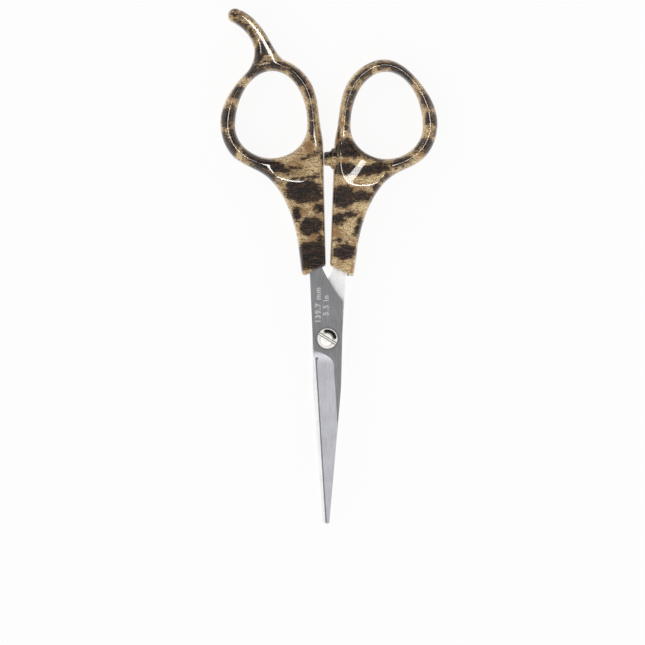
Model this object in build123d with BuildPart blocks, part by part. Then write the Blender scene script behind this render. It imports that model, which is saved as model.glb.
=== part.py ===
"""Hair cutting shears: two ground blades on one slotted pivot screw, each with its tang
moulded into a plastic finger-loop handle.

Frame: millimetres. Z is the pivot axis and z = 0 is the rear flat of the thumb blade.
The blade tips point along -Y and the finger loops along +Y. Both sides have one shape,
turned half a turn about Y, so each is drawn on its own plane: there -x is the side of the
finger loop, y runs up to the loops and z = 0 is the inner face, where the blades ride.
The finger side is the upper one and has the finger rest. The thumb side stands open by the
small angle at which its bumper holds it.
"""

import os
from math import atan2, cos, degrees, radians, sin

from build123d import *

# ---------------------------------------------------------------- blades, seen along the pivot
blade_thickness = 2.2
ride_gap = 0.04  # running gap between the two inner faces
pivot_to_tip = 55.6
tip_radius = 0.6
heel_drop = 2.9  # from the pivot to the end of the shank
heel_relief = 2.8  # length of the relief between shank and cutting edge
edge_reach = 3.65  # centre line to the cutting edge, at its heel end
spine_reach = 4.75  # centre line to the shoulder
spine_bend_reach = 4.1
spine_bend_drop = 15.0
spine_bend_radius = 90.0
shank_reach = 4.3  # centre line to the outer side of the shank, at the heel
shank_reach_handle = 5.3  # the same where it enters the handle
shoulder_rise = 11.2  # from the pivot to the corner of the shoulder
shoulder_bow = 0.35  # hollow of the diagonal between shoulder and tang
blade_edge_break = 0.15

# ---------------------------------------------------------------- grinds on each blade
edge_land = 0.35  # thickness left at the cutting edge by the outer bevel
hone_width = 0.4  # across the narrow honed bevel at the cutting edge
hone_land = 0.05  # thickness left by it
bevel_width = 5.4  # across the outer bevel
bevel_start = 8.1  # from the pivot to where the bevel reaches its full width
grinding_radius = 6.5  # of the wheel where the bevel runs out at the heel

# ---------------------------------------------------------------- tangs inside the handles
tang_width = 3.8
tang_length = 26.0
tang_lean = 1.2  # how far the tang's end leans out
tang_relief = 0.05  # by which the tang is thinner than the blade, on its outer face
tang_relief_start = 0.3  # before the handle's lower end
key_hole_radius = 1.1
key_hole_spacing = 11.0

# ---------------------------------------------------------------- handles
handle_thickness = 7.0
handle_clearance = 0.4  # centre line to the inner edge at the lower end
handle_taper = 0.8  # further clearance gained along the straight inner edge
inner_edge_end = 57.5  # from the pivot to the end of that edge
handle_end = 20.1  # from the pivot to the middle of the lower end
handle_end_slant = 1.7  # half the difference in height across the lower end
handle_width = 7.2  # at the lower end
handle_splay = 0.135  # by which the outer edge leans out there, per mm of height
waist_width = 9.4
waist_rise = 13.0  # above the lower end
web_drop = 14.9  # from the widest part of the hole down to where the outer limb joins
web_width = 18.4
handle_corner = 1.0  # rounding of the lower end's corners, in plan
handle_round = 1.35  # rounding of the long edges

# ---------------------------------------------------------------- finger loops
loop_reach = 16.9  # centre line to the middle of the loop's hole
loop_height = 63.9  # from the pivot to the widest part of the hole
loop_half_width = 10.8
loop_rise = 16.4
loop_drop = 9.7
loop_lean = 2.0  # degrees by which the hole leans to the centre line
loop_walls = {180: 4.1, 135: 4.2, 90: 3.8, 45: 3.0, 0: 4.5, -45: 4.4}  # by angle round the hole

# ---------------------------------------------------------------- finger rest, from the loop's top
rest_upper = ((-5.9, -1.6), (-2.3, 1.0), (0.6, 5.8), (4.4, 11.1), (10.0, 14.9))
rest_tip = (13.0, 13.2)
rest_lower = ((11.5, 10.7), (7.3, 7.4), (5.1, 2.2), (5.8, -1.6), (8.3, -5.2))

# ---------------------------------------------------------------- bumper
bumper_radius = 2.1
bumper_height = 54.0  # from the pivot to its axis
bumper_seat = 2.6  # depth of its socket
bumper_gap = 0.08  # left to the finger handle when closed
bumper_round = 0.6
closed_angle = 0.8  # degrees by which the bumper holds the sides apart

# ---------------------------------------------------------------- pivot
head_radius = 3.0
head_height = 1.25
head_rim = 0.4
slot_width = 0.6
slot_depth = 0.6
slot_angle = -32.0
shoulder_radius = 2.0
thread_radius = 1.6
thread_recess = 0.1  # the screw's end lies this far inside the thumb blade
running_clearance = 0.08
washer_radius = 3.4
washer_thickness = 0.16
washer_cup = 0.14
spot_face_radius = 3.6

# ---------------------------------------------------------------- levels and planes
finger_bottom = blade_thickness + ride_gap
finger_top = finger_bottom + blade_thickness
spot_face_floor = finger_top - washer_thickness - washer_cup
turn = radians(closed_angle)
finger_side = Plane(origin=(0, 0, finger_bottom))
thumb_side = Plane((0, 0, blade_thickness), (-cos(turn), sin(turn), 0), (0, 0, -1))
handle_floor = -(handle_thickness + ride_gap) / 2  # on either side's plane


def save(piece, name):
    """Label a finished piece and write its STEP file."""
    piece.label = name
    export_step(piece, f"parts/{name}.step")


# ---------------------------------------------------------------- shapes common to both sides
def handle_end_corners():
    """Outer and inner corner of a handle's slanted lower end."""
    return (
        (-handle_clearance - handle_width, handle_end - handle_end_slant),
        (-handle_clearance, handle_end + handle_end_slant),
    )


def cutting_edge():
    """The cutting edge's upper end, its direction to the tip, and the way out across it."""
    edge_top = Vector(-edge_reach, -heel_drop - heel_relief)
    edge_end = Vector(-tip_radius, tip_radius - pivot_to_tip)
    along = (edge_end - edge_top).normalized()
    return edge_top, along, Vector(along.Y, -along.X)


def sloping_plane(side, start, along, across, slope):
    """A plane on a blade's side with x to the tip and z down a slope to the cutting edge."""
    down_slope = across * cos(slope) - Vector(0, 0, sin(slope))
    return Plane(side.location * Plane(start, along, down_slope).location)


def bevel_tool(side):
    """Everything above the outer bevel, with the grinding wheel's run-out at the heel."""
    edge_top, along, across = cutting_edge()
    start = edge_top + along * (bevel_start + edge_top.Y) - across * bevel_width
    start += Vector(0, 0, blade_thickness)
    slope = atan2(blade_thickness - edge_land, bevel_width)
    with BuildPart() as tool:
        with BuildSketch(sloping_plane(side, start, along, across, slope)):
            Rectangle(pivot_to_tip, 2 * grinding_radius, align=(Align.MIN, Align.MIN))
            with Locations((0, grinding_radius)):
                Circle(grinding_radius)
        extrude(amount=2 * bevel_width, both=True)
    return tool.part


def hone_tool(side):
    """Everything above the narrow honed bevel along the cutting edge."""
    edge_top, along, across = cutting_edge()
    rise = (blade_thickness - edge_land) * hone_width / bevel_width + edge_land - hone_land
    start = edge_top + Vector(0, 0, hone_land)
    with BuildPart() as tool:
        with BuildSketch(sloping_plane(side, start, along, across, atan2(rise, hone_width))):
            Rectangle(pivot_to_tip, blade_thickness, align=(Align.MIN, Align.MIN))
        extrude(amount=blade_thickness, both=True)
    return tool.part


def blade_shape(side):
    """One blade with its tang, bevel and key holes."""
    tip_y = tip_radius - pivot_to_tip
    entry = (tang_width - shank_reach_handle, handle_end + handle_end_slant / 2)
    tang_top = handle_end + tang_length
    with BuildPart() as blade:
        with BuildSketch(side):
            with BuildLine():
                Polyline(
                    (-tip_radius, tip_y),
                    (-edge_reach, -heel_drop - heel_relief),
                    (-shank_reach, -heel_drop),
                    (-shank_reach_handle, handle_end),
                    (-shank_reach_handle - tang_lean, tang_top),
                    (entry[0] - tang_lean, tang_top),
                    entry,
                )
                diagonal = Line(entry, (spine_reach, shoulder_rise), mode=Mode.PRIVATE)
                bow = diagonal @ 0.5 - Vector(1, 1).normalized() * shoulder_bow
                ThreePointArc(diagonal @ 0, bow, diagonal @ 1)
                FilletPolyline(
                    diagonal @ 1,
                    (spine_bend_reach, -spine_bend_drop),
                    (tip_radius, tip_y),
                    radius=spine_bend_radius,
                )
                ThreePointArc((tip_radius, tip_y), (0, -pivot_to_tip), (-tip_radius, tip_y))
            make_face()
        extrude(amount=blade_thickness)
        outer_face = blade.faces().sort_by(Axis(side.origin, side.z_dir))[-1]
        chamfer(outer_face.edges(), blade_edge_break)
        add(bevel_tool(side), mode=Mode.SUBTRACT)
        add(hone_tool(side), mode=Mode.SUBTRACT)
        lower_end = Line(*handle_end_corners(), mode=Mode.PRIVATE)
        slant_angle = degrees(atan2((lower_end % 0).Y, (lower_end % 0).X))
        with BuildSketch(side.offset(blade_thickness - tang_relief)):
            with Locations(Location(lower_end @ 0.5, (0, 0, slant_angle))):
                with Locations((0, -tang_relief_start)):
                    Rectangle(2 * handle_width, 2 * tang_length, align=(Align.CENTER, Align.MIN))
        extrude(amount=blade_thickness, mode=Mode.SUBTRACT)
        with BuildSketch(side):
            hole_x = -shank_reach_handle + (tang_width - tang_lean) / 2
            hole_y = (handle_end + tang_top) / 2
            with Locations((hole_x, hole_y)):
                with GridLocations(1, key_hole_spacing, 1, 2):
                    Circle(key_hole_radius)
        extrude(amount=blade_thickness, mode=Mode.SUBTRACT)
    return blade.part


def loop_point(angle, wall):
    """A point outside the loop's hole, at a wall's distance from it."""
    rise = loop_rise if sin(radians(angle)) > 0 else loop_drop
    edge = Vector(loop_half_width * cos(radians(angle)), rise * sin(radians(angle)))
    outward = Vector(edge.X / loop_half_width**2, edge.Y / rise**2).normalized()
    point = (edge + outward * wall).rotate(Axis.Z, loop_lean)
    return (-loop_reach - point.X, loop_height + point.Y)


def loop_hole():
    """The loop's hole: two half ellipses of different height, leaning to the centre line."""
    centre = (-loop_reach, loop_height)
    with BuildSketch(mode=Mode.PRIVATE) as hole:
        with BuildLine():
            for height, start in ((loop_rise, 0), (loop_drop, 180)):
                EllipticalCenterArc(
                    centre, loop_half_width, height, start, arc_size=180, rotation=-loop_lean
                )
        make_face()
    return hole.sketch


def finger_rest():
    """Plan of the curved rest that grows from the top of the finger handle's loop."""
    top = loop_height + loop_rise + loop_walls[90]
    upper, (tip,), lower = (
        [(-loop_reach - x, top + y) for x, y in points]
        for points in (rest_upper, (rest_tip,), rest_lower)
    )
    with BuildSketch(mode=Mode.PRIVATE) as rest:
        with BuildLine():
            Spline(*upper)
            ThreePointArc(upper[-1], tip, lower[0])
            Spline(*lower)
            Line(lower[-1], upper[0])
        make_face()
    return rest.sketch


def handle_shape(side, with_rest):
    """One handle, solid where the tang lies."""
    end_outer, end_inner = handle_end_corners()
    inner_top = (-handle_clearance - handle_taper, inner_edge_end)
    loop_line = [loop_point(angle, wall) for angle, wall in loop_walls.items()]
    web = (-handle_clearance - web_width, loop_height - web_drop)
    waist = (-handle_clearance - waist_width, handle_end + waist_rise)
    with BuildPart() as handle:
        with BuildSketch(side.offset(handle_floor)) as plan:
            with BuildLine():
                Line(end_outer, end_inner)
                inner = Line(end_inner, inner_top)
                Spline(
                    *(inner @ 1, *loop_line, web, waist, end_outer),
                    tangents=(inner % 1, (handle_splay, -1)),
                )
            make_face()
            fillet(plan.vertices().sort_by(Axis.Y)[:2], handle_corner)
            if with_rest:
                add(finger_rest())
            add(loop_hole(), mode=Mode.SUBTRACT)
        extrude(amount=handle_thickness)
        flats = handle.faces().filter_by(GeomType.PLANE).filter_by(Axis.Z)
        fillet(flats.edges(), handle_round)
    return handle.part


# ---------------------------------------------------------------- the two sides
os.makedirs("parts", exist_ok=True)

finger_blade_shape = blade_shape(finger_side)
thumb_blade_shape = blade_shape(thumb_side)

with BuildPart() as finger_blade:
    add(finger_blade_shape)
    with BuildSketch(Plane.XY.offset(finger_bottom)):
        Circle(shoulder_radius + running_clearance)
    extrude(amount=blade_thickness, mode=Mode.SUBTRACT)
    with BuildSketch(Plane.XY.offset(spot_face_floor)):
        Circle(spot_face_radius)
    extrude(amount=blade_thickness, mode=Mode.SUBTRACT)

with BuildPart() as thumb_blade:
    add(thumb_blade_shape)
    with BuildSketch(Plane.XY):
        Circle(thread_radius + running_clearance)
    extrude(amount=blade_thickness, mode=Mode.SUBTRACT)

# The bumper is a round plug across the handle's inner edge, with a rounded nose.
nose_height = (bumper_height - bumper_radius - handle_end) / (inner_edge_end - handle_end)
nose_edge = handle_clearance + handle_taper * nose_height
nose = (nose_edge - bumper_gap + bumper_height * sin(turn)) / cos(turn)
bumper_length = nose + nose_edge + bumper_seat
bumper_plane = Plane(
    thumb_side.from_local_coords(Vector(nose, bumper_height, -ride_gap / 2)),
    x_dir=thumb_side.y_dir,
    z_dir=-thumb_side.x_dir,
)
with BuildPart() as bumper:
    with BuildSketch(bumper_plane):
        Circle(bumper_radius)
    extrude(amount=bumper_length)
    fillet(bumper.edges().sort_by(Axis.X)[0], bumper_round)

with BuildPart() as finger_handle:
    add(handle_shape(finger_side, with_rest=True))
    add(finger_blade_shape, mode=Mode.SUBTRACT)

with BuildPart() as thumb_handle:
    add(handle_shape(thumb_side, with_rest=False))
    add(thumb_blade_shape, mode=Mode.SUBTRACT)
    add(bumper.part, mode=Mode.SUBTRACT)

# ---------------------------------------------------------------- pivot
with BuildPart() as pivot_screw:
    with BuildSketch(Plane.XZ):
        with BuildLine():
            Polyline(
                (0, thread_recess),
                (thread_radius, thread_recess),
                (thread_radius, blade_thickness),
                (shoulder_radius, blade_thickness),
                (shoulder_radius, finger_top),
                (head_radius, finger_top),
                (head_radius, finger_top + head_rim),
            )
            RadiusArc(
                (head_radius, finger_top + head_rim),
                (0, finger_top + head_height),
                -(head_radius**2 + (head_height - head_rim) ** 2) / (2 * (head_height - head_rim)),
            )
            Line((0, finger_top + head_height), (0, thread_recess))
        make_face()
    revolve(axis=Axis.Z)
    with BuildSketch(Plane.XY.offset(finger_top + head_height - slot_depth)):
        Rectangle(3 * head_radius, slot_width, rotation=slot_angle)
    extrude(amount=2 * slot_depth, mode=Mode.SUBTRACT)

with BuildPart() as spring_washer:
    with BuildSketch(Plane.XZ):
        with BuildLine():
            Polyline(
                (shoulder_radius + running_clearance, finger_top),
                (shoulder_radius + running_clearance, finger_top - washer_thickness),
                (washer_radius, spot_face_floor),
                (washer_radius, spot_face_floor + washer_thickness),
                close=True,
            )
        make_face()
    revolve(axis=Axis.Z)

save(finger_blade.part, "finger_blade")
save(finger_handle.part, "finger_handle")
save(thumb_blade.part, "thumb_blade")
save(thumb_handle.part, "thumb_handle")
save(bumper.part, "bumper")
save(pivot_screw.part, "pivot_screw")
save(spring_washer.part, "spring_washer")
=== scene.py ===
"""A pair of hair cutting shears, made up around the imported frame. Metres."""

import math

import bmesh
import bpy
import numpy as np
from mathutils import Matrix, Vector
from mathutils.kdtree import KDTree


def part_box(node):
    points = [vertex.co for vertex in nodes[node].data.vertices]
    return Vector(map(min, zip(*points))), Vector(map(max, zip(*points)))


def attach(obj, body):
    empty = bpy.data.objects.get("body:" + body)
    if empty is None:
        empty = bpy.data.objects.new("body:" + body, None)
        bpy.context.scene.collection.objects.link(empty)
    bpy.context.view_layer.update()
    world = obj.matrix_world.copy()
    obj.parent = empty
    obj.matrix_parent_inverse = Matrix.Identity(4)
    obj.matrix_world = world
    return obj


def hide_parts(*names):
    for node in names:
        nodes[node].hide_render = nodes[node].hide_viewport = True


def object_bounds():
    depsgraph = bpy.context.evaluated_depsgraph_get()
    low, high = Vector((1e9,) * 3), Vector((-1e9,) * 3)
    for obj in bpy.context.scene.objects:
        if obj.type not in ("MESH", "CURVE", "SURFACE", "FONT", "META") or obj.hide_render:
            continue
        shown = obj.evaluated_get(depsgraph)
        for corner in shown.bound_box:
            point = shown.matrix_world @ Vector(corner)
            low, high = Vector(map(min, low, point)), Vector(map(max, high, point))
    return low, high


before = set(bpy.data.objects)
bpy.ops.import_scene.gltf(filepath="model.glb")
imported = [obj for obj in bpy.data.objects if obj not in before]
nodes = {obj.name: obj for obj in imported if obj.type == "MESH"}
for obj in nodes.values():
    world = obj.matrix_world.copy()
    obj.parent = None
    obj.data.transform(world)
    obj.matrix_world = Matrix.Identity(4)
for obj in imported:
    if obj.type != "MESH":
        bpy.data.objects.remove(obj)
cad_box = [list(corner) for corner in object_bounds()]

# The studio: a long lens looks straight down the pivot axis onto the shears, which lie on a white
# table that glows faintly, so that nothing throws a dark shadow on it.
mm = 0.001
view_width = 193.5 * mm
view_centre = Vector((-1.47, 4.8, 3.5)) * mm
camera_data = bpy.data.cameras.new("camera")
camera_data.lens = 220
camera_data.clip_end = 20
camera = bpy.data.objects.new("camera", camera_data)
camera.location = view_centre + Vector((0, 0, view_width * camera_data.lens / camera_data.sensor_width))
bpy.context.scene.collection.objects.link(camera)
bpy.context.scene.camera = camera
bpy.context.scene.view_settings.view_transform = "Standard"

bpy.ops.object.select_all(action="DESELECT")
bpy.ops.mesh.primitive_plane_add(size=6, location=(0, 0, cad_box[0][2] - 0.02 * mm))
table = bpy.context.object
table.name = "table"


def add_node(tree, kind, inputs=None, **settings):
    """Adds a node; each input is given a plain value or linked from another node's output."""
    made = tree.nodes.new(kind)
    for name, value in settings.items():
        setattr(made, name, value)
    for name, value in (inputs or {}).items():
        if isinstance(value, bpy.types.NodeSocket):
            tree.links.new(value, made.inputs[name])
        else:
            made.inputs[name].default_value = value
    return made


def blend_colours(tree, factor, first, second, **settings):
    """The colour that goes from the first to the second as the factor goes from 0 to 1."""
    mix = add_node(tree, "ShaderNodeMix", data_type="RGBA", **settings)
    for name, value in (("Factor_Float", factor), ("A_Color", first), ("B_Color", second)):
        socket = next(s for s in mix.inputs if s.identifier == name)
        if isinstance(value, bpy.types.NodeSocket):
            tree.links.new(value, socket)
        else:
            socket.default_value = value
    return next(s for s in mix.outputs if s.identifier == "Result_Color")


def remap(tree, value, low, high, to_low=0.0, to_high=1.0, smooth=True):
    """The value, with its range from low to high turned into to_low to to_high."""
    given = {"Value": value, "From Min": low, "From Max": high, "To Min": to_low, "To Max": to_high}
    kind = "SMOOTHSTEP" if smooth else "LINEAR"
    return add_node(tree, "ShaderNodeMapRange", given, interpolation_type=kind).outputs[0]


def sums(tree, operation, first, second=0.0):
    """One step of arithmetic."""
    return add_node(tree, "ShaderNodeMath", {0: first, 1: second}, operation=operation).outputs[0]


def new_finish(name, **values):
    """A new material, its node tree and its Principled shader with plain values set on it."""
    material = bpy.data.materials.new(name)
    material.use_nodes = True
    shader = material.node_tree.nodes["Principled BSDF"]
    for socket, value in values.items():
        shader.inputs[socket.replace("_", " ")].default_value = value
    return material, material.node_tree, shader


table_paint, tree, shader = new_finish("white_table", Roughness=0.9, Emission_Strength=0.915)
shader.inputs["Base Color"].default_value = (0.12, 0.12, 0.12, 1)
shader.inputs["Specular IOR Level"].default_value = 0.0
shader.inputs["Emission Color"].default_value = (1, 1, 1, 1)
table.data.materials.append(table_paint)

world = bpy.data.worlds.new("studio")
bpy.context.scene.world = world
world.use_nodes = True
direction = add_node(world.node_tree, "ShaderNodeTexCoord").outputs["Generated"]


def dome_patch(below, towards, inner, outer, colour):
    """The dome's colour with a round patch laid over it, soft from inner to outer degrees."""
    facing = {0: direction, 1: Vector(towards).normalized()}
    dot = add_node(world.node_tree, "ShaderNodeVectorMath", facing, operation="DOT_PRODUCT")
    low, high = (math.cos(math.radians(angle)) for angle in (outer, inner))
    patch = remap(world.node_tree, dot.outputs["Value"], low, high)
    return blend_colours(world.node_tree, patch, below, colour)


dome = dome_patch((0.95, 0.95, 0.96, 1), (0, 0, 1), 10, 56, (0.25, 0.25, 0.26, 1))
# Five black cards in an arc give the bright metal something dark to mirror.
card_rise = 0.9
for bearing in (14, 35, 56, 77, 98):
    card = (math.cos(math.radians(bearing)), math.sin(math.radians(bearing)), card_rise)
    dome = dome_patch(dome, card, 12.5, 15, (0.02, 0.02, 0.02, 1))
background = world.node_tree.nodes["Background"]
world.node_tree.links.new(dome, background.inputs["Color"])

lamp_distance = 1.2


def softbox(name, right, up, width, height, brightness, lit):
    """A light for some pieces only, placed and sized in degrees away from straight overhead."""
    angles = (right, up, width, height)
    across, along, wide, high = (lamp_distance * math.tan(math.radians(angle)) for angle in angles)
    data = bpy.data.lights.new(name, "AREA")
    data.shape = "ELLIPSE"
    data.size, data.size_y = wide, high
    data.energy = brightness * math.pi * math.pi * wide * high / 4
    lamp = bpy.data.objects.new(name, data)
    lamp.location = view_centre + Vector((across, along, lamp_distance))
    lamp.visible_camera = False
    lamp.light_linking.receiver_collection = lit
    bpy.context.scene.collection.objects.link(lamp)
    return lamp


lacquered = bpy.data.collections.new("lacquered")
thumb_lacquered = bpy.data.collections.new("thumb_lacquered")
plated = bpy.data.collections.new("plated")
inner_steel = bpy.data.collections.new("inner_steel")
crest_lamp = softbox("crest_lamp", right=2.15, up=7.95, width=6.7, height=5.7, brightness=30, lit=lacquered)
crest_lamp.data.shape = "RECTANGLE"
softbox("web_lamp", right=8.3, up=12.5, width=9, height=9, brightness=14, lit=thumb_lacquered)
softbox("screw_lamp", right=-8, up=-11.5, width=56, height=56, brightness=0.75, lit=plated)
softbox("inner_face_lamp", right=0, up=0, width=54, height=54, brightness=0.9, lit=inner_steel)

# The two blades: forged steel, each in one piece with its tang. The outer flats are ground lengthwise
# and the inner faces across. The bevels are a cooler grey, and the narrow honed edges carry painted shade.
bevel_tone = (0.83, 0.83, 0.88)
honed_shade_tone = (0.12, 0.12, 0.13)
flat_facing, bevel_facing = (0.965, 0.99), (0.6, 0.9)


def grinding_lines_group():
    """A group that draws fine parallel grinding lines, given how dense they are each way per mm."""
    group = bpy.data.node_groups.new("grinding_lines", "ShaderNodeTree")
    for name in ("Along X", "Along Y"):
        group.interface.new_socket(name, in_out="INPUT", socket_type="NodeSocketFloat")
    for name in ("Fine", "Broad"):
        group.interface.new_socket(name, in_out="OUTPUT", socket_type="NodeSocketFloat")
    given = add_node(group, "NodeGroupInput")
    place = add_node(group, "ShaderNodeTexCoord").outputs["Object"]
    in_mm = add_node(group, "ShaderNodeVectorMath", {0: place, "Scale": 1000}, operation="SCALE").outputs[0]
    per_mm = {"X": given.outputs[0], "Y": given.outputs[1], "Z": 1.0}
    density = add_node(group, "ShaderNodeCombineXYZ", per_mm).outputs[0]
    stretched = add_node(group, "ShaderNodeVectorMath", {0: in_mm, 1: density}, operation="MULTIPLY")
    scratches = {"Vector": stretched.outputs[0], "Scale": 1.0, "Detail": 3.0}
    fine = add_node(group, "ShaderNodeTexNoise", scratches)
    broad = add_node(group, "ShaderNodeTexNoise", {"Vector": in_mm, "Scale": 0.18, "Detail": 2.0})
    end = add_node(group, "NodeGroupOutput")
    group.links.new(fine.outputs[0], end.inputs["Fine"])
    group.links.new(broad.outputs[0], end.inputs["Broad"])
    return group


grinding_lines = grinding_lines_group()


def blade_steel(name, flat_tone, along_x, along_y, flat_rough, bump):
    """Ground steel whose flats, bevel and honed edge are told apart by the way they face; the honed edge gets
    painted shade.
    """
    material, tree, shader = new_finish(name, Metallic=1.0)
    facing = add_node(tree, "ShaderNodeTexCoord").outputs["Normal"]
    upright = sums(tree, "ABSOLUTE", add_node(tree, "ShaderNodeSeparateXYZ", {0: facing}).outputs["Z"])
    on_flat = remap(tree, upright, *flat_facing)
    on_bevel = remap(tree, upright, *bevel_facing)
    lines = add_node(tree, "ShaderNodeGroup", node_tree=grinding_lines)
    lines.inputs["Along X"].default_value = along_x
    lines.inputs["Along Y"].default_value = along_y
    tone = blend_colours(tree, on_flat, (*bevel_tone, 1), (*flat_tone, 1))
    # Painted shade: the steep honed edge is given a near black tone.
    tone = blend_colours(tree, on_bevel, (*honed_shade_tone, 1), tone)
    shade = remap(tree, lines.outputs["Fine"], 0.3, 0.7, 0.9, 1.08)
    shade = sums(tree, "MULTIPLY", shade, remap(tree, lines.outputs["Broad"], 0.3, 0.7, 0.94, 1.05))
    grey = add_node(tree, "ShaderNodeCombineXYZ", {"X": shade, "Y": shade, "Z": shade}).outputs[0]
    colour = blend_colours(tree, 1.0, tone, grey, blend_type="MULTIPLY")
    tree.links.new(colour, shader.inputs["Base Color"])
    rough = remap(tree, lines.outputs["Fine"], 0.25, 0.75, flat_rough - 0.05, flat_rough + 0.08)
    tree.links.new(rough, shader.inputs["Roughness"])
    relief = {"Height": lines.outputs["Fine"], "Strength": bump, "Distance": 0.02 * mm}
    tree.links.new(add_node(tree, "ShaderNodeBump", relief).outputs[0], shader.inputs["Normal"])
    return material


def finish_node(name, material):
    """Gives a carried-over node its material."""
    nodes[name].data.materials.clear()
    nodes[name].data.materials.append(material)


finish_node("finger_blade", blade_steel("finger_blade_steel", flat_tone=(0.8, 0.8, 0.81), along_x=9.0,
                                        along_y=0.3, flat_rough=0.3, bump=0.2))
finish_node("thumb_blade", blade_steel("thumb_blade_steel", flat_tone=(0.97, 0.97, 0.97), along_x=0.7,
                                       along_y=6.0, flat_rough=0.55, bump=0.4))
inner_steel.objects.link(nodes["thumb_blade"])

# The handles: hard plastic moulded onto the blade tangs, with full-round limbs, a scoop towards
# the finger hole inside a soft ridge, and a flat shank. An animal print is dipped on, then lacquered.
voxel = 0.25 * mm
half_thickness = 3.5 * mm
limb_round, shank_round, end_round = 2.1 * mm, 1.2 * mm, 0.8 * mm
scoop_slope, ridge_softness, corner_softness = 0.2, 0.1 * mm, 4.0 * mm
rest_width, rest_crest, rest_round, rest_slope, rest_lean = 4.0 * mm, 2.5 * mm, 1.0 * mm, 0.22, 0.021
loop_middle, loop_reach = (16.9, 66.5), 15 * mm
# Where one form gives way to the next: heights up the handle, and the widths that are scooped.
end_blunts, limb_starts = (20.5 * mm, 24 * mm), (42 * mm, 52 * mm)
web_ends, rest_starts = (68 * mm, 62 * mm), (83 * mm, 86 * mm)
scooped_widths = (4.4 * mm, 9 * mm)
thinning_heights, thinning_halves = (20, 58, 84), (3.5, 3.5, 3.35)
middle = (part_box("finger_handle")[0][2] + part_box("finger_handle")[1][2]) / 2
inner_ridge = ((3.4, 40), (3.7, 50), (3.7, 66))
lower_ridges = {
    -1: ((0, 42.7), (4, 43.9), (7.4, 45.3), (12.6, 47.4), (17.1, 49.3), (22.6, 51.6), (26, 53.8), (31, 58)),
    1: ((0, 43.2), (5, 43.7), (7.9, 44.6), (13.4, 46), (19, 48.7), (24.5, 52.2), (28.4, 55.7), (31, 60)),
}


def smoothstep(low, high, value):
    """0 below low, 1 above high and a smooth rise between."""
    t = np.clip((value - low) / (high - low), 0, 1)
    return t * t * (3 - 2 * t)


def section_edges(node, height):
    """The handle's outline at a height: each edge's two ends and its inward normal."""
    bm = bmesh.new()
    bm.from_mesh(nodes[node].data)
    bmesh.ops.remove_doubles(bm, verts=bm.verts, dist=1e-6)
    everything = bm.verts[:] + bm.edges[:] + bm.faces[:]
    cut = bmesh.ops.bisect_plane(bm, geom=everything, plane_co=(0, 0, height), plane_no=(0, 0, 1))
    edges = []
    for edge in cut["geom_cut"]:
        if isinstance(edge, bmesh.types.BMEdge):
            outward = sum((face.normal for face in edge.link_faces), Vector())
            inward = -Vector((outward.x, outward.y)).normalized()
            edges.append((edge.verts[0].co.xy, edge.verts[1].co.xy, inward))
    bm.free()
    return edges


def plan_solid(name, edges):
    """A solid with the outline's plan and the full thickness, in small even faces."""
    points = [(*end, middle - half_thickness) for edge in edges for end in edge[:2]]
    mesh = bpy.data.meshes.new(name)
    mesh.from_pydata(points, [(2 * i, 2 * i + 1) for i in range(len(edges))], [])
    piece = bpy.data.objects.new(name, mesh)
    bpy.context.scene.collection.objects.link(piece)
    bpy.ops.object.select_all(action="DESELECT")
    bpy.context.view_layer.objects.active = piece
    piece.select_set(True)
    bpy.ops.object.mode_set(mode="EDIT")
    bpy.ops.mesh.select_all(action="SELECT")
    bpy.ops.mesh.remove_doubles(threshold=1e-6)
    bpy.ops.mesh.fill()
    bpy.ops.mesh.extrude_region_move(TRANSFORM_OT_translate={"value": (0, 0, 2 * half_thickness)})
    bpy.ops.mesh.select_all(action="SELECT")
    bpy.ops.mesh.normals_make_consistent(inside=False)
    bpy.ops.object.mode_set(mode="OBJECT")
    mesh.remesh_voxel_size = voxel
    bpy.ops.object.voxel_remesh()
    return piece


def distances(points, samples, normals):
    """How far each point lies from a sampled line, on the side that the normals point to."""
    tree = KDTree(len(samples))
    for index, sample in enumerate(samples):
        tree.insert((*sample, 0), index)
    tree.balance()
    nearest = [tree.find((x, y, 0))[1] for x, y in points]
    feet, inward = np.array(samples)[nearest], np.array(normals)[nearest]
    return np.einsum("ij,ij->i", points - feet, inward), inward


def sample_edges(edges):
    """Points a tenth of a millimetre apart along edges, with their normals."""
    samples, normals = [], []
    for start, end, inward in edges:
        steps = max(1, int((end - start).length / (0.1 * mm)))
        samples += [tuple(start.lerp(end, (step + 0.5) / steps)) for step in range(steps)]
        normals += [tuple(inward)] * steps
    return samples, normals


def ridge_edges(path, side, turn):
    """A ridge drawn for the thumb handle, mirrored for side -1, with normals turned to its left."""
    corners = [Vector((side * x, y)) * mm for x, y in path]
    runs = [(end - start).normalized() for start, end in zip(corners, corners[1:])]
    return [(*ends, Vector((-run.y, run.x)) * turn) for *ends, run in zip(corners, corners[1:], runs)]


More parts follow.
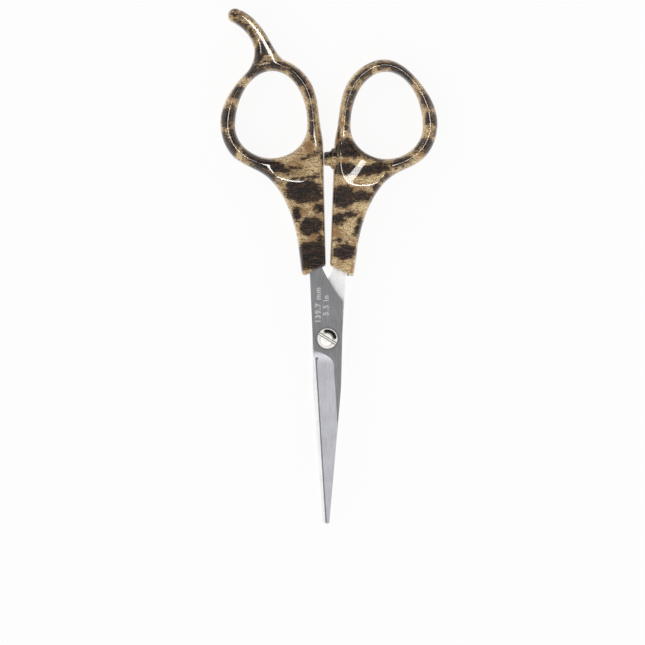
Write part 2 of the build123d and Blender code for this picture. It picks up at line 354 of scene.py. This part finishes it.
def mould_section(piece, edges, side):
    """Rounds the limbs, scoops the web and flattens the shank; side is -1 for the finger handle."""
    count = len(piece.data.vertices)
    co = np.empty(count * 3)
    piece.data.vertices.foreach_get("co", co)
    co = co.reshape(-1, 3)
    plan, along = co[:, :2], co[:, 1]
    hole_middle = Vector((side * loop_middle[0], loop_middle[1])) * mm
    from_middle = [(start - hole_middle, edge_inward) for start, _, edge_inward in edges]
    in_hole = [start.dot(edge_inward) > 0 and start.length < loop_reach for start, edge_inward in from_middle]
    outer, outer_inward = distances(plan, *sample_edges([e for e, h in zip(edges, in_hole) if not h]))
    hole, hole_inward = distances(plan, *sample_edges([e for e, h in zip(edges, in_hole) if h]))
    depth = np.minimum(outer, hole).clip(0)
    inward = np.where((outer < hole)[:, None], outer_inward, hole_inward)
    width = outer + hole
    radius = shank_round + (limb_round - shank_round) * smoothstep(*limb_starts, along)
    radius = np.minimum(radius, width / 2)
    on_rest = smoothstep(*rest_starts, along)
    radius -= (limb_round - rest_round) * on_rest
    radius = end_round + (radius - end_round) * smoothstep(*end_blunts, along)
    half = np.interp(along, np.array(thinning_heights) * mm, np.array(thinning_halves) * mm)
    across = np.minimum(depth, radius) / radius - 1
    height = (co[:, 2] - middle) / half_thickness
    length = np.hypot(across, height)
    new_depth = np.where(depth < radius, radius * (1 + across / length), depth)
    new_height = np.where(depth < radius, height / length, np.sign(height))
    past_inner = distances(plan, *sample_edges(ridge_edges(inner_ridge, side, -side)))[0]
    past_lower = distances(plan, *sample_edges(ridge_edges(lower_ridges[side], side, side)))[0]
    past_both = np.logaddexp(-past_inner / corner_softness, -past_lower / corner_softness)
    inside = -corner_softness * past_both
    drop = scoop_slope * (np.hypot(inside, ridge_softness) + inside) / 2
    drop *= smoothstep(*scooped_widths, width) * smoothstep(*web_ends, along)
    from_edge = np.minimum(new_depth, rest_width / 2)
    from_outside = np.where(inward[:, 0] < 0, from_edge, rest_width - from_edge)
    lean = np.where(from_outside < rest_crest, -rest_lean, rest_slope) * (from_outside - rest_crest)
    drop += on_rest * lean
    co[:, :2] += inward * (new_depth - depth)[:, None]
    co[:, 2] = middle + new_height * (half - drop)
    piece.data.vertices.foreach_set("co", co.ravel())
    piece.data.update()
    smooth = piece.modifiers.new("smooth", "SMOOTH")
    smooth.factor = 0.5
    smooth.iterations = 3
    bpy.ops.object.modifier_apply(modifier="smooth")
    bpy.ops.object.shade_smooth()


# How far the print slides along x and y for each millimetre down the side, and the value off it.
spot_lean, unprinted = (0.4, -0.35), -3.0


def print_spots(piece, spots):
    """Writes how far inside a dark spot each point lies, in millimetres, below 0 outside them."""
    co = np.empty(len(piece.data.vertices) * 3)
    piece.data.vertices.foreach_get("co", co)
    co = co.reshape(-1, 3) / mm
    inside = np.full(len(co), unprinted)
    lean = np.outer(spot_lean, (middle + half_thickness) / mm - co[:, 2])
    for x, y, half_x, half_y, turn in spots:
        c, s = math.cos(math.radians(turn)), math.sin(math.radians(turn))
        dx, dy = co[:, 0] - x - lean[0], co[:, 1] - y - lean[1]
        reach = np.hypot((dx * c + dy * s) / half_x, (dy * c - dx * s) / half_y)
        inside = np.maximum(inside, (1 - reach) * min(half_x, half_y))
    layer = piece.data.attributes.new("inside_spot", "FLOAT", "POINT")
    layer.data.foreach_set("value", inside.astype(np.float32))


def printed_lacquer():
    """The dipped fur print under clear lacquer: spots with feathered edges, hairs and speckle."""
    material, tree, shader = new_finish("printed_lacquer", Coat_Weight=1.0, Coat_Roughness=0.03,
                                        Specular_IOR_Level=0.12)
    spot = add_node(tree, "ShaderNodeAttribute", attribute_name="inside_spot").outputs["Fac"]
    place = add_node(tree, "ShaderNodeTexCoord").outputs["Object"]
    in_mm = add_node(tree, "ShaderNodeVectorMath", {0: place, "Scale": 1000}, operation="SCALE").outputs[0]
    turned = add_node(tree, "ShaderNodeMapping", {"Vector": in_mm, "Rotation": (0, 0, math.radians(-14)),
                                                  "Scale": (0.42, 1.9, 1.2)}).outputs[0]
    hairs = add_node(tree, "ShaderNodeTexNoise", {"Vector": turned, "Scale": 1.0, "Detail": 3.0,
                                                  "Roughness": 0.6}).outputs[0]
    speckle = add_node(tree, "ShaderNodeTexNoise", {"Vector": in_mm, "Scale": 3.2, "Detail": 2.0,
                                                    "Roughness": 0.7}).outputs[0]
    blotch = add_node(tree, "ShaderNodeTexNoise", {"Vector": in_mm, "Scale": 0.28, "Detail": 2.0}).outputs[0]
    patch = add_node(tree, "ShaderNodeTexNoise", {"Vector": in_mm, "Scale": 0.75, "Detail": 1.0}).outputs[0]
    edge = spot
    for noise, feather in ((hairs, 1.3), (speckle, 0.8), (patch, 0.5)):
        edge = sums(tree, "ADD", edge, remap(tree, noise, 0.2, 0.8, -feather, feather, False))
    dark = remap(tree, edge, -0.22, 0.22)
    shade = sums(tree, "ADD", sums(tree, "MULTIPLY", hairs, 0.45), sums(tree, "MULTIPLY", speckle, 0.55))
    lit_hairs = remap(tree, shade, 0.4, 0.56)
    gold = blend_colours(tree, lit_hairs, (0.19, 0.1, 0.035, 1), (0.98, 0.74, 0.4, 1))
    gold = blend_colours(tree, remap(tree, blotch, 0.45, 0.8), gold, (0.36, 0.18, 0.06, 1))
    lit_brown = remap(tree, shade, 0.49, 0.58)
    brown = blend_colours(tree, lit_brown, (0.003, 0.002, 0.002, 1), (0.12, 0.06, 0.025, 1))
    tree.links.new(blend_colours(tree, dark, gold, brown), shader.inputs["Base Color"])
    tree.links.new(remap(tree, shade, 0.3, 0.7, 0.34, 0.46), shader.inputs["Roughness"])
    relief = {"Height": blotch, "Strength": 0.1, "Distance": 0.1 * mm}
    tree.links.new(add_node(tree, "ShaderNodeBump", relief).outputs[0], shader.inputs["Normal"])
    return material


lacquer = printed_lacquer()


def moulded_handle(node, section_height, side, spots):
    """The visible handle that stands for a packed one."""
    edges = section_edges(node, section_height)
    piece = plan_solid(node + "_moulding", edges)
    mould_section(piece, edges, side)
    print_spots(piece, spots)
    piece.data.materials.clear()
    piece.data.materials.append(lacquer)
    lacquered.objects.link(piece)
    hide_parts(node)
    return piece


# The dark spots: middle, half length, half height and turn, in mm and degrees.
finger_spots = (
    (-7.0, 44.1, 5.9, 3.6, -6), (-9.4, 37.4, 1.6, 2.1, 0), (-2.4, 39.0, 1.7, 1.5, 30),
    (-4.8, 33.7, 3.6, 2.8, 20), (-2.3, 29.7, 1.5, 0.9, 10), (-4.6, 24.8, 6.5, 4.2, 0),
    (-7.2, 23.2, 3.2, 2.6, -20), (-17.4, 51.9, 7.2, 1.9, -15), (-19.5, 50.1, 5.6, 1.3, -33),
    (-5.6, 48.3, 4.6, 0.5, 8), (-4.5, 55.2, 3.0, 0.5, 20), (-11.0, 51.0, 2.6, 0.6, 10),
    (-30.6, 66.3, 1.9, 3.4, 5), (-28.4, 67.5, 1.4, 2.2, 0), (-30.9, 59.5, 1.6, 3.0, 20),
    (-27.7, 60.6, 1.5, 3.6, 15), (-29.2, 56.6, 1.9, 1.9, 0), (-23.4, 55.5, 3.4, 1.2, -35),
    (-27.1, 74.0, 1.8, 2.3, -30), (-22.9, 80.4, 1.7, 2.6, -40), (-20.2, 85.8, 3.8, 2.0, 60),
    (-17.6, 88.6, 1.6, 0.9, 60), (-26.1, 94.0, 2.8, 0.9, -38), (-22.7, 91.2, 2.4, 0.8, -58),
    (-28.4, 98.9, 1.4, 0.6, 0), (-23.6, 97.3, 2.9, 0.7, -33), (-27.5, 97.1, 1.8, 0.6, -15),
    (-19.3, 92.6, 2.0, 0.6, -55), (-16.9, 87.6, 2.0, 0.5, -60), (-15.4, 81.9, 4.2, 1.1, -3),
    (-20.4, 80.7, 2.8, 0.8, 40), (-9.0, 78.4, 4.6, 1.5, -48), (-5.6, 73.5, 2.2, 0.9, -72),
    (-4.9, 68.0, 0.9, 2.8, 5), (-4.7, 63.5, 0.9, 3.2, 0), (-2.2, 61.5, 0.5, 6.0, 3),
    (-1.4, 53.0, 0.5, 3.0, 0),
)
thumb_spots = (
    (5.2, 25.9, 3.5, 2.5, 6), (3.4, 29.4, 1.7, 0.6, 0), (9.5, 33.2, 1.3, 3.0, -12),
    (3.0, 35.8, 2.6, 1.9, 10), (6.2, 37.1, 2.6, 0.9, 4), (4.7, 42.5, 3.9, 3.4, 0), (9.9, 42.6, 4.2, 1.8, 3),
    (14.5, 45.4, 1.5, 1.1, 45), (18.2, 48.4, 2.2, 1.0, 32), (5.4, 50.9, 4.0, 1.9, 0),
    (13.6, 51.0, 6.2, 1.8, 10), (21.4, 53.0, 4.0, 1.4, 20), (6.2, 57.0, 4.2, 2.9, 0),
    (12.3, 55.0, 4.4, 0.8, -20), (30.1, 57.8, 1.7, 2.7, -35), (27.2, 58.3, 1.1, 2.6, -35),
    (32.3, 61.9, 0.9, 1.3, 0), (30.2, 65.9, 1.2, 2.0, 0), (32.1, 66.0, 1.0, 2.3, 0),
    (29.0, 71.4, 3.1, 1.1, -62), (30.2, 72.0, 2.8, 0.9, -60), (22.0, 80.1, 5.0, 2.0, -38),
    (17.4, 82.0, 3.6, 1.1, -3), (10.6, 79.2, 3.6, 1.1, 42), (12.1, 82.9, 2.6, 0.6, 24),
    (7.9, 76.8, 1.9, 0.9, 52), (6.3, 71.8, 0.9, 2.8, -10), (7.4, 73.2, 0.8, 2.4, -20),
    (5.8, 67.4, 0.8, 2.4, 0), (5.6, 63.2, 0.8, 0.9, 0), (3.1, 60.5, 0.5, 5.0, 0),
)
finger_moulding = moulded_handle("finger_handle", 1.0 * mm, -1, finger_spots)
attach(finger_moulding, "finger_side")
thumb_moulding = moulded_handle("thumb_handle", 4.335 * mm, 1, thumb_spots)
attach(thumb_moulding, "thumb_side")
thumb_lacquered.objects.link(thumb_moulding)

# The pivot: a bright chromed screw with a slotted dome head, screwed into the thumb blade, over a
# spring washer that sits in the finger blade's spot face.
slot_turn = math.radians(32)
# The painted shade's rise and fall along the slot's two edges, in millimetres from the middle of the slot.
slot_shade_band = (0.12, 0.2, 0.36, 0.46)
screw_edge = 0.09 * mm


def plating(name, tone, rough, slot_shade):
    """Bright plating with faint turning marks, and painted shade in the two corners of a screwdriver slot."""
    material, tree, shader = new_finish(name, Metallic=1.0)
    place = add_node(tree, "ShaderNodeTexCoord").outputs["Object"]
    in_mm = add_node(tree, "ShaderNodeVectorMath", {0: place, "Scale": 1000}, operation="SCALE").outputs[0]
    marks = add_node(tree, "ShaderNodeTexNoise", {"Vector": in_mm, "Scale": 1.6, "Detail": 4.0}).outputs[0]
    dull = tuple(0.88 * part for part in tone)
    colour = blend_colours(tree, remap(tree, marks, 0.35, 0.65), (*tone, 1), (*dull, 1))
    # Painted shade: dark bands along both edges of the slot stand in for the shade inside it.
    facing_slot = {0: in_mm, 1: (math.sin(slot_turn), math.cos(slot_turn), 0)}
    offset = add_node(tree, "ShaderNodeVectorMath", facing_slot, operation="DOT_PRODUCT").outputs["Value"]
    offset = sums(tree, "ABSOLUTE", offset)
    past_start = remap(tree, offset, *slot_shade_band[:2])
    corner = sums(tree, "MULTIPLY", past_start, remap(tree, offset, *slot_shade_band[2:], 1.0, 0.0))
    slot_shaded = sums(tree, "MULTIPLY", corner, remap(tree, marks, 0.3, 0.5, 0.7 * slot_shade, slot_shade))
    colour = blend_colours(tree, slot_shaded, colour, (0.03, 0.025, 0.02, 1))
    tree.links.new(colour, shader.inputs["Base Color"])
    tree.links.new(remap(tree, marks, 0.3, 0.7, rough, rough + 0.06), shader.inputs["Roughness"])
    relief = {"Height": marks, "Strength": 0.08, "Distance": 0.02 * mm}
    tree.links.new(add_node(tree, "ShaderNodeBump", relief).outputs[0], shader.inputs["Normal"])
    return material


screw = nodes["pivot_screw"].copy()
screw.data = nodes["pivot_screw"].data.copy()
screw.name = "plated_screw"
for key in list(screw.keys()):
    del screw[key]
bpy.context.scene.collection.objects.link(screw)
bpy.ops.object.select_all(action="DESELECT")
bpy.context.view_layer.objects.active = screw
screw.select_set(True)
bpy.ops.object.mode_set(mode="EDIT")
bpy.ops.mesh.select_all(action="SELECT")
bpy.ops.mesh.remove_doubles(threshold=1e-6)
bpy.ops.mesh.tris_convert_to_quads(face_threshold=0.02, shape_threshold=3.1)
bpy.ops.object.mode_set(mode="OBJECT")
soft_edge = screw.modifiers.new("soft_edge", "BEVEL")
soft_edge.width = screw_edge
soft_edge.segments = 3
soft_edge.limit_method = "ANGLE"
soft_edge.angle_limit = math.radians(28)
bpy.ops.object.modifier_apply(modifier="soft_edge")
bpy.ops.object.shade_smooth_by_angle(angle=math.radians(30))
screw.data.materials.clear()
screw.data.materials.append(plating("screw_chrome", (0.95, 0.92, 0.86), 0.06, 0.9))
plated.objects.link(screw)
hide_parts("pivot_screw")
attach(screw, "tension_screw")
finish_node("spring_washer", plating("washer_steel", (0.7, 0.7, 0.71), 0.22, 0.0))

# The bumper: a round stop between the handles, plugged into the thumb handle and printed with it.
# Its nose is domed and its root flares into the handle.
bumper_low, bumper_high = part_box("bumper")
bumper_middle = (bumper_low + bumper_high) / 2
nose = bumper_low.x
bumper_profile = ((0, 0), (0, 1.6), (0.12, 2.0), (0.4, 2.15), (1.0, 2.15), (1.5, 2.2), (1.9, 2.4), (2.2, 2.9),
                  (2.5, 3.3), (3.3, 3.4), (4.2, 3.4), (4.2, 0))
bumper_mesh = bpy.data.meshes.new("bumper_moulding")
points = [(nose + x * mm, bumper_middle.y + r * mm, bumper_middle.z) for x, r in bumper_profile]
bumper_mesh.from_pydata(points, [(i, i + 1) for i in range(len(points) - 1)], [])
bumper = bpy.data.objects.new("bumper_moulding", bumper_mesh)
bpy.context.scene.collection.objects.link(bumper)
bpy.ops.object.select_all(action="DESELECT")
bpy.context.view_layer.objects.active = bumper
bumper.select_set(True)
bpy.ops.object.mode_set(mode="EDIT")
bpy.ops.mesh.select_all(action="SELECT")
bpy.ops.mesh.spin(steps=32, angle=math.tau, center=bumper_middle, axis=(1, 0, 0))
bpy.ops.mesh.select_all(action="SELECT")
bpy.ops.mesh.remove_doubles(threshold=1e-6)
bpy.ops.mesh.normals_make_consistent(inside=False)
bpy.ops.object.mode_set(mode="OBJECT")
rounding = bumper.modifiers.new("rounding", "SUBSURF")
rounding.levels = rounding.render_levels = 3
bpy.ops.object.modifier_apply(modifier="rounding")
bpy.ops.object.shade_smooth()
bumper_spots = ((0.6, 56.2, 5, 1.8, 0), (0.6, 50.9, 5, 1.2, 0))
print_spots(bumper, bumper_spots)
bumper.data.materials.clear()
bumper.data.materials.append(lacquer)
lacquered.objects.link(bumper)
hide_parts("bumper")
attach(bumper, "thumb_side")

# The gate mark: a tiny round witness left where the plastic entered the thumb handle, and two small
# dark beads at the handle's lower edge.
thumb_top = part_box("thumb_handle")[1][2]
gate_x, gate_y, gate_sink, gate_dimple, dimple_reach = 3.2, 36.4, 0.16, 0.08, 0.3


def lacquer_bead(name, x, y, z, size):
    """A small bead, flattened on its underside."""
    bpy.ops.object.select_all(action="DESELECT")
    bpy.ops.mesh.primitive_ico_sphere_add(subdivisions=3, radius=1)
    bead = bpy.context.object
    bead.name = name
    for vertex in bead.data.vertices:
        vertex.co = Vector((x, y, z)) * mm + Vector((vertex.co.x * size[0], vertex.co.y * size[1],
                                                     max(vertex.co.z, -0.4) * size[2])) * mm
    bpy.ops.object.shade_smooth()
    return bead


gate_mark = lacquer_bead("gate_mark", gate_x, gate_y, thumb_top / mm - gate_sink, (0.55, 0.55, 0.12))
for vertex in gate_mark.data.vertices:
    reach = math.hypot(vertex.co.x / mm - gate_x, vertex.co.y / mm - gate_y)
    if vertex.co.z > (thumb_top - gate_sink * mm) and reach < dimple_reach:
        vertex.co.z -= gate_dimple * mm
# Two small dark beads at the handle's lower end, made dark by the first spot laid over them below.
beads = [gate_mark, lacquer_bead("left_dark_bead", 6.3, 19.25, 2.3, (0.5, 0.45, 0.6)),
         lacquer_bead("right_dark_bead", 7.3, 19.1, 2.6, (0.42, 0.4, 0.5))]
for bead in beads:
    print_spots(bead, ((5, 18.8, 9, 2, 0), (3.2, 35.8, 2.6, 1.9, 10)))
    bead.data.materials.append(lacquer)
    lacquered.objects.link(bead)
    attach(bead, "thumb_side")

# The size mark: the length in millimetres and in inches, etched on the finger blade between the
# handle and the screw, reading up the blade.
etched, tree, shader = new_finish("etched_mark", Metallic=0.3)
place = add_node(tree, "ShaderNodeTexCoord").outputs["Object"]
grain = add_node(tree, "ShaderNodeTexNoise", {"Vector": place, "Scale": 6000.0, "Detail": 2.0}).outputs[0]
colour = blend_colours(tree, remap(tree, grain, 0.35, 0.65), (0.8, 0.8, 0.8, 1), (0.97, 0.97, 0.97, 1))
tree.links.new(colour, shader.inputs["Base Color"])
tree.links.new(remap(tree, grain, 0.3, 0.7, 0.55, 0.75), shader.inputs["Roughness"])
mark_height = 2.25 * mm
mark_lift = 0.015 * mm


def etched_text(name, words, x, y, spacing):
    """A line of thin raised characters, centred at (x, y) and reading towards +Y."""
    bpy.ops.object.select_all(action="DESELECT")
    bpy.ops.object.text_add()
    text = bpy.context.object
    text.data.body = words
    text.data.size = mark_height
    text.data.space_character = spacing
    text.data.align_x = "CENTER"
    text.data.align_y = "CENTER"
    text.data.extrude = mark_lift / 2
    text.data.offset = 0.09 * mm
    bpy.ops.object.convert(target="MESH")
    text = bpy.context.object
    text.name = name
    text.rotation_euler = (0, 0, math.radians(90))
    text.location = (x, y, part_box("finger_blade")[1][2] + mark_lift / 2)
    bpy.ops.object.transform_apply(location=True, rotation=True, scale=True)
    text.data.materials.append(etched)
    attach(text, "finger_side")


etched_text("size_mark_mm", "139.7 mm", -2.75 * mm, 9.95 * mm, 1.2)
etched_text("size_mark_inch", "5.5 in", -0.36 * mm, 9.9 * mm, 1.2)
